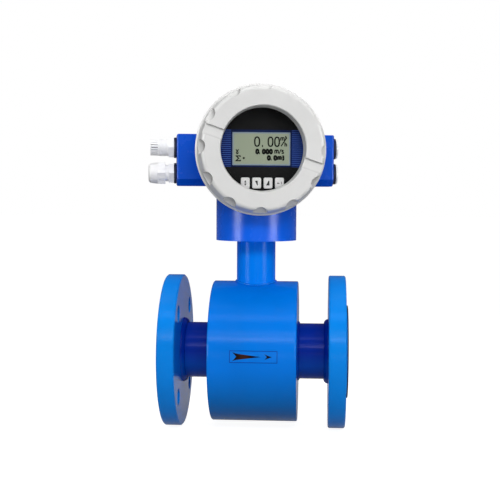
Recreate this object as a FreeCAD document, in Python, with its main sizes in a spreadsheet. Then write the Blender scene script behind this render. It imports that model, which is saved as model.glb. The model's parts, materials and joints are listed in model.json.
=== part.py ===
import FreeCAD, Part
import math
import os
import re
import Sketcher
from FreeCAD import Placement, Rotation, Vector

# Electromagnetic flow meter for a DN50 line, with a round converter head.
# Frame: millimetres, origin in the middle of the flow bore, +X along the flow from the
# inlet to the outlet, +Z up through the neck, the display looking roughly towards -Y.
# The head's own pieces are drawn square to the axes about the point where the head's
# front-to-back axis crosses the neck's axis, and are then turned and lifted into place.

SIZES = {
    # measuring tube, liner and flanges
    "face_to_face": 200.0,
    "tube_outer": 60.3,
    "tube_wall": 2.9,
    "liner_wall": 3.0,
    "liner_lip": 1.4,
    "lip_outer": 100.0,
    "flange_outer": 165.0,
    "flange_thick": 18.2,
    "flange_edge": 1.2,
    "raised_outer": 102.0,
    "raised_step": 1.4,
    "bolt_circle": 125.0,
    "bolt_hole": 18.0,
    "bolt_count": 4.0,
    "weld_leg": 4.5,
    # electrodes
    "tip_radius": 5.0,
    "tip_recess": 0.2,
    "tip_thick": 1.0,
    "shank_radius": 2.5,
    "shank_reach": 44.0,
    "bush_radius": 4.5,
    "collar_radius": 7.0,
    "collar_thick": 2.0,
    "boss_radius": 9.0,
    "boss_reach": 36.0,
    "nut_flats": 9.0,
    "nut_thick": 4.0,
    # exciting coils, poles and yoke
    "coil_long": 60.0,
    "coil_broad": 56.0,
    "coil_corner": 12.0,
    "coil_depth": 13.0,
    "coil_start": 13.0,
    "pole_long": 30.0,
    "pole_broad": 24.0,
    "pole_corner": 5.0,
    "yoke_inner": 58.0,
    "yoke_wall": 4.0,
    "yoke_width": 44.0,
    # coil housing and neck
    "drum_outer": 152.0,
    "drum_width": 92.0,
    "drum_wall": 2.5,
    "drum_end": 4.0,
    "drum_round": 1.5,
    "neck_outer": 42.0,
    "neck_wall": 3.0,
    "seat_thick": 12.0,
    "seat_radius": 37.95,
    "lead_hole": 12.0,
    "screw_groove": 2.2,
    "screw_groove_width": 5.2,
    "screw_groove_height": 4.0,
    "seal_height": 9.0,
    # place of the head
    "pedestal_bottom": 121.0,
    "head_height": 216.5,
    "head_turn": 9.0,
    # converter housing
    "pedestal_outer": 87.0,
    "turn_gap": 0.05,
    "pedestal_cavity": 33.0,
    "pedestal_roof": 66.0,
    "case_outer": 126.0,
    "case_front": 43.0,
    "case_rear": 52.0,
    "nose_radius": 60.0,
    "rear_nose_radius": 54.0,
    "nose_length": 13.0,
    "front_bore": 56.0,
    "rear_bore": 49.0,
    "wall_front": 2.0,
    "wall_rear": 8.0,
    "entry_front": 7.0,
    "entry_rear": 45.0,
    "entry_top": 19.3,
    "entry_bottom": 37.0,
    "entry_reach": 86.3,
    "entry_bevel": 7.5,
    "entry_round": 2.0,
    "gland_thread": 9.3,
    "gland_back": 26.0,
    "gland_upper": 5.0,
    "gland_lower": 23.0,
    "lead_passage": 9.0,
    "lead_forward": 20.0,
    "link_hole": 7.0,
    "link_drop": 38.0,
    "clamp_thread": 2.5,
    "clamp_screw_long": 4.4,
    # covers
    "lip_radius": 68.3,
    "lip_gap": 1.5,
    "lip_thick": 3.0,
    "rear_lip_radius": 61.6,
    "lip_step": 1.7,
    "side_draft": 4.9,
    "cover_round": 4.5,
    "thread_gap": 0.08,
    "front_rise": 29.5,
    "rear_rise": 22.0,
    "ring_inner": 43.8,
    "ring_throat": 42.5,
    "ring_chamfer": 0.8,
    "ring_depth": 14.0,
    "glass_seat": 52.0,
    "glass_collar": 55.0,
    "glass_hold": 9.0,
    "gasket_thick": 1.0,
    "gasket_inner": 44.0,
    "glass_radius": 51.6,
    "glass_thick": 5.0,
    "holder_inner": 48.8,
    "flute_count": 12.0,
    "flute_radius": 8.0,
    "flute_out": 1.3,
    "flute_first": 28.0,
    "slot_wide": 11.0,
    "slot_deep": 3.0,
    "slot_turn": 18.5,
    "cover_wall": 6.0,
    "cover_gap": 1.0,
    "rear_recess": 46.0,
    "seal_section": 1.2,
    "seal_land": 1.7,
    "seal_slack": 0.04,
    # display
    "panel_front": 52.4,
    "panel_thick": 1.9,
    "panel_radius": 47.8,
    "lcd_wide": 60.0,
    "lcd_high": 34.0,
    "lcd_up": 0.8,
    "lcd_sink": 0.3,
    "lcd_gap": 0.2,
    "lcd_corner": 0.5,
    "module_margin": 3.0,
    "key_wide": 9.1,
    "key_high": 11.3,
    "key_corner": 1.6,
    "key_pitch": 11.83,
    "key_shift": 1.1,
    "key_drop": 34.5,
    "key_gap": 0.1,
    "key_proud": 0.8,
    "key_brim": 0.7,
    "key_brim_thick": 1.0,
    "key_travel": 0.5,
    "switch_side": 6.0,
    # electronics
    "board_thick": 1.6,
    "display_board_front": 44.6,
    "display_board_radius": 46.0,
    "main_board_front": 25.6,
    "power_board_front": 7.6,
    "board_radius": 50.0,
    "post_radius": 2.5,
    "post_spread": 34.0,
    "post_rise": 22.7,
    "panel_post_inset": 7.5,
    "panel_post_up": 11.3,
    "low_post_inset": 14.0,
    "low_post_down": 25.5,
    "terminal_wide": 64.0,
    "terminal_high": 22.0,
    "terminal_deep": 16.0,
    "terminal_up": 14.0,
    "terminal_step": 7.0,
    "terminal_pitch": 7.6,
    "terminal_count": 8.0,
    "terminal_mouth": 4.6,
    "mouth_corner": 0.6,
    "terminal_screw": 2.2,
    "terminal_screw_thick": 1.5,
    # cable glands and blanking plugs
    "washer_thick": 3.0,
    "washer_radius": 11.3,
    "washer_edge": 0.7,
    "gland_tail": 12.0,
    "gland_flats": 20.4,
    "gland_hex": 5.7,
    "barrel_radius": 8.9,
    "barrel_length": 11.0,
    "claw_radius": 8.65,
    "claw_bore": 6.9,
    "claw_length": 9.0,
    "claw_count": 18.0,
    "claw_slit": 0.9,
    "claw_pinch": 1.3,
    "claw_gap": 0.28,
    "insert_bore": 4.4,
    "insert_gap": 0.05,
    "insert_collar": 1.5,
    "cap_flats": 22.4,
    "cap_gap": 0.07,
    "cap_start": 3.6,
    "cap_hex": 8.5,
    "cap_length": 18.5,
    "cap_mouth": 6.3,
    "cap_shoulder": 11.6,
    "cap_nose": 10.4,
    "cap_round": 3.8,
    "plug_washer": 2.3,
    "plug_head": 3.6,
    "plug_radius": 11.2,
    "plug_slot": 2.0,
    "plug_slot_deep": 1.6,
}

# Sizes worked out from the driving ones; a name may use the names above it.
WORKED_OUT = {
    "half_length": "(face_to_face / 2)",
    "steel_face": "(half_length - liner_lip)",
    "disc_face": "(steel_face - raised_step)",
    "disc_back": "(disc_face - flange_thick)",
    "tube_radius": "(tube_outer / 2)",
    "tube_inside": "(tube_radius - tube_wall)",
    "bore_radius": "(tube_inside - liner_wall)",
    "flange_radius": "(flange_outer / 2)",
    "tip_seat": "(bore_radius + tip_recess + tip_thick)",
    "coil_outer": "(tube_radius + coil_depth)",
    "drum_radius": "(drum_outer / 2)",
    "drum_inside": "(drum_radius - drum_wall)",
    "half_drum": "(drum_width / 2)",
    "neck_radius": "(neck_outer / 2)",
    "seat_bottom": "pedestal_bottom",
    "seat_top": "(seat_bottom + seat_thick)",
    "clamp_height": "(seat_bottom + screw_groove_height)",
    "seal_level": "(seat_bottom + seal_height)",
    "foot": "(pedestal_bottom - head_height)",
    "seat_bore": "(seat_radius + turn_gap)",
    "case_radius": "(case_outer / 2)",
    "nose_front": "(case_front + nose_length)",
    "nose_rear": "(case_rear + nose_length)",
    "lip_front": "(case_front + lip_gap)",
    "lip_rear": "(case_rear + lip_gap)",
    "front_face": "(lip_front + front_rise)",
    "rear_face": "(lip_rear + rear_rise)",
    "seat_face": "(front_face - ring_depth)",
    "glass_front": "(seat_face - gasket_thick)",
    "glass_back": "(glass_front - glass_thick)",
    "collar_back": "(seat_face - glass_hold)",
    "panel_back": "(panel_front - panel_thick)",
    "display_board_back": "(display_board_front - board_thick)",
    "key_brim_back": "(panel_back - key_brim_thick)",
    "switch_front": "(key_brim_back - key_travel - key_gap)",
    "washer_end": "(entry_reach + washer_thick)",
    "hex_end": "(washer_end + gland_hex)",
    "barrel_end": "(hex_end + barrel_length)",
    "claw_end": "(barrel_end + claw_length)",
    "cap_back": "(hex_end + cap_start)",
    "cap_end": "(cap_back + cap_length)",
}

KEYS = ("menu", "down", "up", "enter")
NEAR = 0.01     # places closer than this are taken as the same

doc = FreeCAD.newDocument("FlowMeter")
sheet = doc.addObject("Spreadsheet::Sheet", "Sizes")
for row, (name, value) in enumerate(SIZES.items(), start=1):
    sheet.set(f"A{row}", name)
    sheet.set(f"B{row}", str(value))
    sheet.setAlias(f"B{row}", name)
doc.recompute()
pieces = []


def formula(text):
    """Write a size formula so that each name in it reads its cell of the sheet."""
    def cell(match):
        word = match.group(0)
        if word in WORKED_OUT:
            return formula(WORKED_OUT[word])
        return f"Sizes.{word}" if word in SIZES else word
    return re.sub(r"[a-z_]+", cell, str(text))


def number(text):
    return float(sheet.evalExpression(formula(text)))


def bind(thing, **properties):
    """Tie properties to formulas; a double underscore in a name stands for a dot."""
    for name, text in properties.items():
        thing.setExpression(name.replace("__", "."), formula(text))
    return thing


def part(label, kind="PartDesign::Body", in_head=False):
    """A new piece under its own label; a piece of the head is turned and lifted with it."""
    piece = doc.addObject(kind, label)
    piece.Label = label
    if in_head:
        put_in_head(piece)
    pieces.append(piece)
    return piece


def group(label, members, in_head=False):
    """Identical pieces that share one label."""
    piece = part(label, "Part::Compound", in_head)
    piece.Links = members
    return piece


def put_in_head(piece):
    piece.Placement = Placement(Vector(), Rotation(Vector(0, 0, 1), number("head_turn")))
    bind(piece, Placement__Rotation__Angle="head_turn", Placement__Base__z="head_height")


def origin_feature(body, role):
    return next(item for item in body.Origin.OriginFeatures if item.Role == role)


def sketch_on(body, role, ahead="0", up="0", aside="0"):
    """An empty sketch on an origin plane, moved ahead along its normal, up it and aside."""
    sketch = body.newObject("Sketcher::SketchObject", "Sketch")
    sketch.AttachmentSupport = [(origin_feature(body, role), "")]
    sketch.MapMode = "FlatFace"
    return bind(sketch, AttachmentOffset__Base__z=ahead, AttachmentOffset__Base__y=up,
                AttachmentOffset__Base__x=aside)


def fix(sketch, index, point, x, y):
    """Hold one point of a sketch at the place that two formulas give."""
    for kind, text in (("DistanceX", x), ("DistanceY", y)):
        rule = Sketcher.Constraint(kind, -1, 1, index, point, number(text))
        sketch.setExpression(f"Constraints[{sketch.addConstraint(rule)}]", formula(text))


def fix_radius(sketch, index, radius):
    rule = Sketcher.Constraint("Radius", index, number(radius))
    sketch.setExpression(f"Constraints[{sketch.addConstraint(rule)}]", formula(radius))


def draw_outline(sketch, points):
    """A closed outline of straight edges through points given as pairs of formulas."""
    places = [Vector(number(x), number(y), 0) for x, y in points]
    first = sketch.GeometryCount
    total = len(points)
    for index in range(total):
        sketch.addGeometry(Part.LineSegment(places[index], places[(index + 1) % total]))
    for index in range(total):
        following = first + (index + 1) % total
        sketch.addConstraint(Sketcher.Constraint("Coincident", first + index, 2, following, 1))
    for index, (x, y) in enumerate(points):
        fix(sketch, first + index, 1, x, y)


def draw_circle(sketch, x, y, radius):
    circle = Part.Circle(Vector(number(x), number(y), 0), Vector(0, 0, 1), number(radius))
    index = sketch.addGeometry(circle)
    fix(sketch, index, 3, x, y)
    fix_radius(sketch, index, radius)


def draw_rounded(sketch, x, y, wide, high, corner):
    """A rectangle with round corners: four arcs held at their centres, joined by tangents."""
    signs = ((1, 1), (-1, 1), (-1, -1), (1, -1))
    centres = [(f"{x} + {sx} * ({wide} / 2 - {corner})",
                f"{y} + {sy} * ({high} / 2 - {corner})") for sx, sy in signs]
    middle = [Vector(number(cx), number(cy), 0) for cx, cy in centres]
    radius = number(corner)
    turns = [Vector(radius, 0, 0), Vector(0, radius, 0), Vector(-radius, 0, 0), Vector(0, -radius, 0)]
    first = sketch.GeometryCount
    quarter = math.pi / 2
    for index in range(4):
        round_edge = Part.Circle(middle[index], Vector(0, 0, 1), radius)
        sketch.addGeometry(Part.ArcOfCircle(round_edge, index * quarter, (index + 1) * quarter))
    for index in range(4):
        following = (index + 1) % 4
        turn = turns[following]
        sketch.addGeometry(Part.LineSegment(middle[index] + turn, middle[following] + turn))
    for index in range(4):
        line, arc, following = first + 4 + index, first + index, first + (index + 1) % 4
        sketch.addConstraint(Sketcher.Constraint("Tangent", arc, 2, line, 1))
        sketch.addConstraint(Sketcher.Constraint("Tangent", line, 2, following, 1))
    for index, (cx, cy) in enumerate(centres):
        fix(sketch, first + index, 3, cx, cy)
        fix_radius(sketch, first + index, corner)


def hexagon(flats):
    """The six corners of a hexagon from its width across flats."""
    return [(f"{flats} / sqrt(3) * cos({60 * k})", f"{flats} / sqrt(3) * sin({60 * k})")
            for k in range(6)]


def extrude(body, sketch, length, cut=False, both_ways=False, back=False):
    """Pad or pocket a sketch; a pocket runs ahead like a pad unless it is turned back."""
    kind = "PartDesign::Pocket" if cut else "PartDesign::Pad"
    feature = body.newObject(kind, "Pocket" if cut else "Pad")
    feature.Profile = sketch
    bind(feature, Length=length)
    if both_ways:
        feature.SideType = "Symmetric"
    feature.Reversed = cut != back
    return feature


def revolve(body, sketch, axis, cut=False):
    kind = "PartDesign::Groove" if cut else "PartDesign::Revolution"
    feature = body.newObject(kind, "Groove" if cut else "Revolution")
    feature.Profile = sketch
    feature.ReferenceAxis = (sketch, [axis])
    feature.Angle = 360
    return feature


def repeat_round(body, feature, axis, count):
    pattern = body.newObject("PartDesign::PolarPattern", "Pattern")
    pattern.Originals = [feature]
    pattern.Axis = axis
    pattern.Angle = 360
    bind(pattern, Occurrences=count)
    body.Tip = pattern
    return pattern


def round_edges(body, wanted, radius):
    """Round the edges of the body so far that a test picks out."""
    doc.recompute()
    base = body.Tip
    names = [f"Edge{k}" for k, edge in enumerate(base.Shape.Edges, start=1) if wanted(edge)]
    fillet = body.newObject("PartDesign::Fillet", "Fillet")
    fillet.Base = (base, names)
    return bind(fillet, Radius=radius)


def ring_edge(axis, place, radius):
    """A test for the full circle of this radius whose centre lies here along an axis."""
    def wanted(edge):
        curve = edge.Curve
        if not isinstance(curve, Part.Circle):
            return False
        centre = (curve.Center.x, curve.Center.y, curve.Center.z)[axis]
        return abs(centre - number(place)) < NEAR and abs(curve.Radius - number(radius)) < NEAR
    return wanted


def turned_on_x(label, points, in_head=False, ahead="0", up="0"):
    """A piece turned about a line along X; each point is (place along X, radius)."""
    body = part(label, in_head=in_head)
    sketch = sketch_on(body, "XZ_Plane", ahead, up)
    draw_outline(sketch, points)
    revolve(body, sketch, "H_Axis")
    return body


def turned_on_y(label, points, in_head=False):
    """A piece turned about the Y axis; each point is (place towards -Y, radius)."""
    body = part(label, in_head=in_head)
    sketch = sketch_on(body, "YZ_Plane")
    draw_outline(sketch, [(f"-({ahead})", radius) for ahead, radius in points])
    revolve(body, sketch, "H_Axis")
    return body


def turned_on_z(label, points):
    """A piece turned about the Z axis; each point is (radius, height)."""
    body = part(label)
    sketch = sketch_on(body, "XZ_Plane")
    draw_outline(sketch, points)
    revolve(body, sketch, "V_Axis")
    return body


def ring_seal(label, ahead, radius, in_head=True):
    """An O-ring about the Y axis: its place towards -Y and its middle radius."""
    body = part(label, in_head=in_head)
    sketch = sketch_on(body, "YZ_Plane")
    draw_circle(sketch, f"-({ahead})", radius, "seal_section")
    revolve(body, sketch, "H_Axis")


def disc(label, back, front, radius):
    turned_on_y(label, [(back, "0"), (back, radius), (front, radius), (front, "0")], in_head=True)


def ring(label, back, front, inner, outer):
    turned_on_y(label, [(back, inner), (back, outer), (front, outer), (front, inner)], in_head=True)


def posts(label, back, front, places):
    """Round posts along Y from one board to the next, as one group."""
    members = []
    for index, (x, z) in enumerate(places, start=1):
        post = doc.addObject("Part::Cylinder", f"{label}_{index}")
        post.Placement = Placement(Vector(), Rotation(Vector(1, 0, 0), 90))
        bind(post, Radius="post_radius", Height=f"{front} - ({back})",
             Placement__Base__x=x, Placement__Base__y=f"-({back})", Placement__Base__z=z)
        members.append(post)
    group(label, members, in_head=True)


def bore_along_y(body, radius, length):
    """Drill both walls of a tube along the electrodes' line."""
    sketch = sketch_on(body, "XZ_Plane")
    draw_circle(sketch, "0", "0", radius)
    return extrude(body, sketch, length, cut=True, both_ways=True)


def cut_round_x(body, radius, length):
    """Cut away everything inside a cylinder about the X axis."""
    sketch = sketch_on(body, "YZ_Plane")
    draw_circle(sketch, "0", "0", radius)
    return extrude(body, sketch, length, cut=True, both_ways=True)


# ---- sensor -------------------------------------------------------------------------

def measuring_tube():
    tube = turned_on_x("measuring_tube", [
        ("-steel_face", "tube_inside"), ("steel_face", "tube_inside"),
        ("steel_face", "tube_radius"), ("-steel_face", "tube_radius")])
    bore_along_y(tube, "bush_radius", "2 * tube_outer")


def liner():
    body = turned_on_x("liner", [
        ("-half_length", "bore_radius"), ("half_length", "bore_radius"),
        ("half_length", "lip_outer / 2"), ("steel_face", "lip_outer / 2"),
        ("steel_face", "tube_inside"), ("-steel_face", "tube_inside"),
        ("-steel_face", "lip_outer / 2"), ("-half_length", "lip_outer / 2")])
    bore_along_y(body, "shank_radius", "2 * tube_outer")
    bore_along_y(body, "tip_radius", "2 * tip_seat")


def flange(label, side):
    """A welded-on flange with its raised face, its weld bead and its bolt holes."""
    body = turned_on_x(label, [(f"{side} * {x}", radius) for x, radius in [
        ("(disc_back - weld_leg)", "tube_radius"), ("disc_back", "tube_radius + weld_leg"),
        ("disc_back", "flange_radius - flange_edge"), ("(disc_back + flange_edge)", "flange_radius"),
        ("(disc_face - flange_edge)", "flange_radius"), ("disc_face", "flange_radius - flange_edge"),
        ("disc_face", "raised_outer / 2"), ("steel_face", "raised_outer / 2"),
        ("steel_face", "tube_radius")]])
    sketch = sketch_on(body, "YZ_Plane")
    draw_circle(sketch, "bolt_circle / 2 * cos(180 / bolt_count)",
                "bolt_circle / 2 * sin(180 / bolt_count)", "bolt_hole / 2")
    hole = extrude(body, sketch, "2 * face_to_face", cut=True, both_ways=True)
    repeat_round(body, hole, (origin_feature(body, "X_Axis"), [""]), "bolt_count")


def electrode(place, side):
    """One electrode with its welded boss, insulating bush and nut, side by side along Y."""
    turned_on_y(f"electrode_{place}", [(f"{side} * {y}", radius) for y, radius in [
        ("(bore_radius + tip_recess)", "0"), ("(bore_radius + tip_recess)", "tip_radius"),
        ("tip_seat", "tip_radius"), ("tip_seat", "shank_radius"),
        ("shank_reach", "shank_radius"), ("shank_reach", "0")]])
    boss = turned_on_y(f"electrode_boss_{place}", [(f"{side} * {y}", radius) for y, radius in [
        ("tube_inside", "bush_radius"), ("tube_inside", "boss_radius"),
        ("boss_reach", "boss_radius"), ("boss_reach", "bush_radius")]])
    cut_round_x(boss, "tube_radius", "2 * tube_outer")
    turned_on_y(f"electrode_bush_{place}", [(f"{side} * {y}", radius) for y, radius in [
        ("tube_inside", "shank_radius"), ("tube_inside", "bush_radius"),
        ("boss_reach", "bush_radius"), ("boss_reach", "collar_radius"),
        ("(boss_reach + collar_thick)", "collar_radius"),
        ("(boss_reach + collar_thick)", "shank_radius")]])
    nut = doc.addObject("PartDesign::Body", f"Nut{place}")
    ahead = "(boss_reach + collar_thick)" if side > 0 else "(-boss_reach - collar_thick - nut_thick)"
    sketch = sketch_on(nut, "XZ_Plane", ahead)
    draw_outline(sketch, hexagon("nut_flats"))
    draw_circle(sketch, "0", "0", "shank_radius")
    extrude(nut, sketch, "nut_thick")
    return nut


def shell_round_tube(name, inside, outside, length):
    """A plain sleeve about the X axis, used to give a piece its curved faces."""
    walls = []
    for which, radius in (("Outside", outside), ("Inside", inside)):
        cylinder = doc.addObject("Part::Cylinder", name + which)
        cylinder.Placement = Placement(Vector(), Rotation(Vector(0, 1, 0), 90))
        bind(cylinder, Radius=radius, Height=length, Placement__Base__x=f"-{length} / 2")
        walls.append(cylinder)
    sleeve = doc.addObject("Part::Cut", name + "Sleeve")
    sleeve.Base, sleeve.Tool = walls
    return sleeve


def curved_block(label, side, inside, outside, outlines, start):
    """A block cut from a sleeve round the tube: the outlines give its plan, seen from above."""
    plan = doc.addObject("PartDesign::Body", label + "Plan")
    sketch = sketch_on(plan, "XY_Plane", start if side > 0 else f"-({start})")
    for wide, high, corner in outlines:
        draw_rounded(sketch, "0", "0", wide, high, corner)
    extrude(plan, sketch, "drum_outer", back=side < 0)
    block = part(label, "Part::Common")
    block.Base = plan
    block.Tool = shell_round_tube(label, inside, outside, "drum_width")


def magnet(place, side):
    pole = ("pole_long", "pole_broad", "pole_corner")
    curved_block(f"{place}_coil", side, "tube_radius", "coil_outer",
                 [("coil_long", "coil_broad", "coil_corner"), pole], "coil_start")
    curved_block(f"{place}_pole", side, "tube_radius", "yoke_inner", [pole], "coil_start")


def yoke():
    turned_on_x("yoke", [
        ("-yoke_width / 2", "yoke_inner"), ("yoke_width / 2", "yoke_inner"),
        ("yoke_width / 2", "yoke_inner + yoke_wall"), ("-yoke_width / 2", "yoke_inner + yoke_wall")])


def coil_housing():
    shell = turned_on_x("housing_shell", [
        ("-half_drum", "drum_inside"), ("half_drum", "drum_inside"),
        ("half_drum", "drum_radius"), ("-half_drum", "drum_radius")])
    for end in ("half_drum", "-half_drum"):
        round_edges(shell, ring_edge(0, end, "drum_radius"), "drum_round")
    sketch = sketch_on(shell, "XY_Plane")
    draw_circle(sketch, "0", "0", "neck_radius - neck_wall")
    extrude(shell, sketch, "drum_outer", cut=True)
    for label, side in (("housing_end_inlet", -1), ("housing_end_outlet", 1)):
        turned_on_x(label, [(f"{side} * {x}", radius) for x, radius in [
            ("(half_drum - drum_end)", "tube_radius"), ("(half_drum - drum_end)", "drum_inside"),
            ("half_drum", "drum_inside"), ("half_drum", "tube_radius")]])


def neck():
    tube = turned_on_z("neck_tube", [
        ("neck_radius - neck_wall", "drum_inside / 2"), ("neck_radius", "drum_inside / 2"),
        ("neck_radius", "seat_bottom + seat_thick / 2"),
        ("neck_radius - neck_wall", "seat_bottom + seat_thick / 2")])
    cut_round_x(tube, "drum_radius", "2 * neck_outer")
    inner = "(seat_radius - screw_groove)"
    seal_floor = "(seat_radius - 2 * seal_section)"
    turned_on_z("neck_seat", [
        ("neck_radius", "seat_bottom"), ("seat_radius", "seat_bottom"),
        ("seat_radius", "clamp_height - screw_groove_width / 2"),
        (inner, "clamp_height - screw_groove_width / 2"),
        (inner, "clamp_height + screw_groove_width / 2"),
        ("seat_radius", "clamp_height + screw_groove_width / 2"),
        ("seat_radius", "seal_level - seal_section"), (seal_floor, "seal_level - seal_section"),
        (seal_floor, "seal_level + seal_section"), ("seat_radius", "seal_level + seal_section"),
        ("seat_radius", "seat_top"), ("lead_hole", "seat_top"),
        ("lead_hole", "seat_bottom + seat_thick / 2"),
        ("neck_radius", "seat_bottom + seat_thick / 2")])
    body = part("neck_seal")
    sketch = sketch_on(body, "XZ_Plane")
    draw_circle(sketch, "seat_radius - seal_section", "seal_level", "seal_section")
    revolve(body, sketch, "V_Axis")


# ---- converter housing --------------------------------------------------------------

def converter_housing():
    body = part("converter_housing", in_head=True)
    sketch = sketch_on(body, "YZ_Plane")
    draw_outline(sketch, [
        ("-nose_front", "0"), ("-nose_front", "nose_radius"), ("-case_front", "nose_radius"),
        ("-case_front", "case_radius"), ("case_rear", "case_radius"),
        ("case_rear", "rear_nose_radius"), ("nose_rear", "rear_nose_radius"), ("nose_rear", "0")])
    revolve(body, sketch, "H_Axis")
    sketch = sketch_on(body, "XY_Plane", "foot")
    draw_circle(sketch, "0", "0", "pedestal_outer / 2")
    extrude(body, sketch, "-foot")
    sketch = sketch_on(body, "YZ_Plane")
    draw_outline(sketch, [
        ("entry_front", "entry_top"), ("entry_rear", "entry_top"),
        ("entry_rear", "entry_bevel - entry_bottom"), ("entry_rear - entry_bevel", "-entry_bottom"),
        ("entry_front + entry_bevel", "-entry_bottom"), ("entry_front", "entry_bevel - entry_bottom")])
    extrude(body, sketch, "2 * entry_reach", both_ways=True)

    def end_edge(edge):
        box = edge.BoundBox
        return box.XLength < NEAR and abs(abs(box.Center.x) - number("entry_reach")) < NEAR
    round_edges(body, end_edge, "entry_round")
    for bore, front, rear in (("front_bore", "-nose_front - cover_gap", "wall_front"),
                              ("rear_bore", "wall_rear", "nose_rear + cover_gap")):
        sketch = sketch_on(body, "YZ_Plane")
        draw_outline(sketch, [(front, "0"), (front, bore), (rear, bore), (rear, "0")])
        revolve(body, sketch, "H_Axis", cut=True)
    for radius, depth in (("seat_bore", "seat_thick"), ("pedestal_cavity", "-foot - pedestal_roof")):
        sketch = sketch_on(body, "XY_Plane", "foot")
        draw_circle(sketch, "0", "0", radius)
        extrude(body, sketch, depth, cut=True)
    sketch = sketch_on(body, "XY_Plane", "foot")
    draw_circle(sketch, "0", "-lead_forward", "lead_passage")
    extrude(body, sketch, "-foot", cut=True)
    sketch = sketch_on(body, "XZ_Plane")
    draw_circle(sketch, "0", "-link_drop", "link_hole")
    extrude(body, sketch, "case_rear", cut=True, both_ways=True)
    sketch = sketch_on(body, "YZ_Plane")
    for height in ("gland_upper", "-gland_lower"):
        draw_circle(sketch, "gland_back", height, "gland_thread")
    extrude(body, sketch, "2 * case_outer", cut=True, both_ways=True)
    sketch = sketch_on(body, "YZ_Plane")
    draw_circle(sketch, "0", "clamp_height - head_height", "clamp_thread")
    extrude(body, sketch, "2 * pedestal_outer", cut=True, both_ways=True)
    sketch = sketch_on(body, "XZ_Plane")
    draw_circle(sketch, "0", "clamp_height - head_height", "clamp_thread")
    extrude(body, sketch, "pedestal_outer", cut=True, back=True)


def clamp_screws():
    """Three set screws through the pedestal's wall, their ends in the seat's groove."""
    screws = []
    inner = "(seat_radius - screw_groove / 2)"
    for angle in (0, 90, 180):
        screw = doc.addObject("Part::Cylinder", "ClampScrew")
        turn = Rotation(Vector(0, 0, 1), angle) * Rotation(Vector(0, 1, 0), 90)
        screw.Placement = Placement(Vector(), turn)
        bind(screw, Radius="clamp_thread", Height="clamp_screw_long",
             Placement__Base__x=f"{inner} * cos({angle})", Placement__Base__y=f"{inner} * sin({angle})",
             Placement__Base__z="clamp_height - head_height")
        screws.append(screw)
    group("clamp_screws", screws, in_head=True)


# ---- covers -------------------------------------------------------------------------

def cover_outside(lip, face, rim):
    """The outer half of a cover's section: its lip, its tapered side and its face's edge."""
    return [(lip, rim), (f"{lip} + lip_thick", rim),
            (f"{lip} + lip_thick + lip_step / 2", f"{rim} - lip_step"), (face, f"{rim} - side_draft")]


def thread_side(lip, inner_face, nose):
    """The inner half of the section: the thread's bore, with the O-ring's groove near the lip."""
    bore, floor = f"{nose} + thread_gap", f"{nose} + thread_gap + 2 * seal_section + seal_slack"
    back, front = f"{lip} + seal_land", f"{lip} + seal_land + 2 * seal_section + 2 * seal_slack"
    return [(inner_face, bore), (front, bore), (front, floor), (back, floor), (back, bore), (lip, bore)]


def cover_seal(label, side, lip, nose):
    """The O-ring that sits in a cover's groove and seals on the housing's nose."""
    ring_seal(label, f"{side} * ({lip} + seal_land + seal_section + seal_slack)",
              f"{nose} + thread_gap + seal_section + seal_slack / 2")


def finish_cover(body, face, side, flute_end, rim):
    """Round the face's edge, cut the flutes round the side and the wrench slot over the face."""
    round_edges(body, ring_edge(1, f"-({side} * {face})", f"{rim} - side_draft"), "cover_round")
    sketch = sketch_on(body, "XZ_Plane", f"{side} * {face}")
    draw_circle(sketch, f"({rim} - flute_out) * cos(flute_first)",
                f"({rim} - flute_out) * sin(flute_first)", "flute_radius")
    flute = extrude(body, sketch, f"{face} - ({flute_end})", cut=True, back=side > 0)
    repeat_round(body, flute, (origin_feature(body, "Y_Axis"), [""]), "flute_count")
    sketch = sketch_on(body, "XZ_Plane", f"{side} * {face}")
    draw_outline(sketch, [
        (f"({u}) * cos(slot_turn) + ({v}) * sin(slot_turn)",
         f"({v}) * cos(slot_turn) - ({u}) * sin(slot_turn)") for u, v in [
            ("-lip_radius", "-slot_wide / 2"), ("lip_radius", "-slot_wide / 2"),
            ("lip_radius", "slot_wide / 2"), ("-lip_radius", "slot_wide / 2")]])
    extrude(body, sketch, "slot_deep", cut=True, back=side > 0)


def front_cover():
    inner_face = "nose_front + cover_gap"
    body = turned_on_y("front_cover", cover_outside("lip_front", "front_face", "lip_radius") + [
        ("front_face", "ring_inner + ring_chamfer"), ("front_face - ring_chamfer", "ring_inner"),
        ("seat_face", "ring_throat"), ("seat_face", "glass_seat"), ("collar_back", "glass_seat"),
        ("collar_back", "glass_collar"), (inner_face, "glass_collar")]
        + thread_side("lip_front", inner_face, "nose_radius"), in_head=True)
    finish_cover(body, "front_face", 1, f"{inner_face} + cover_gap", "lip_radius")
    cover_seal("front_cover_seal", 1, "lip_front", "nose_radius")
    ring("window_gasket", "glass_front", "seat_face", "gasket_inner", "glass_radius")
    disc("window_glass", "glass_back", "glass_front", "glass_radius")
    ring("window_holder", "collar_back", "glass_back", "holder_inner", "glass_seat")


def rear_cover():
    inner_face = "nose_rear + cover_gap"
    section = cover_outside("lip_rear", "rear_face", "rear_lip_radius") + [
        ("rear_face", "0"), ("rear_face - cover_wall", "0"),
        ("rear_face - cover_wall", "rear_recess"), (inner_face, "rear_recess")]
    section += thread_side("lip_rear", inner_face, "rear_nose_radius")
    body = turned_on_y("rear_cover", [(f"-({y})", radius) for y, radius in section], in_head=True)
    finish_cover(body, "rear_face", -1, f"{inner_face} + cover_gap", "rear_lip_radius")
    cover_seal("rear_cover_seal", -1, "lip_rear", "rear_nose_radius")


# ---- display and electronics --------------------------------------------------------

def key_place(index):
    return f"(key_shift + {index - (len(KEYS) - 1) / 2} * key_pitch)"


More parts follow.
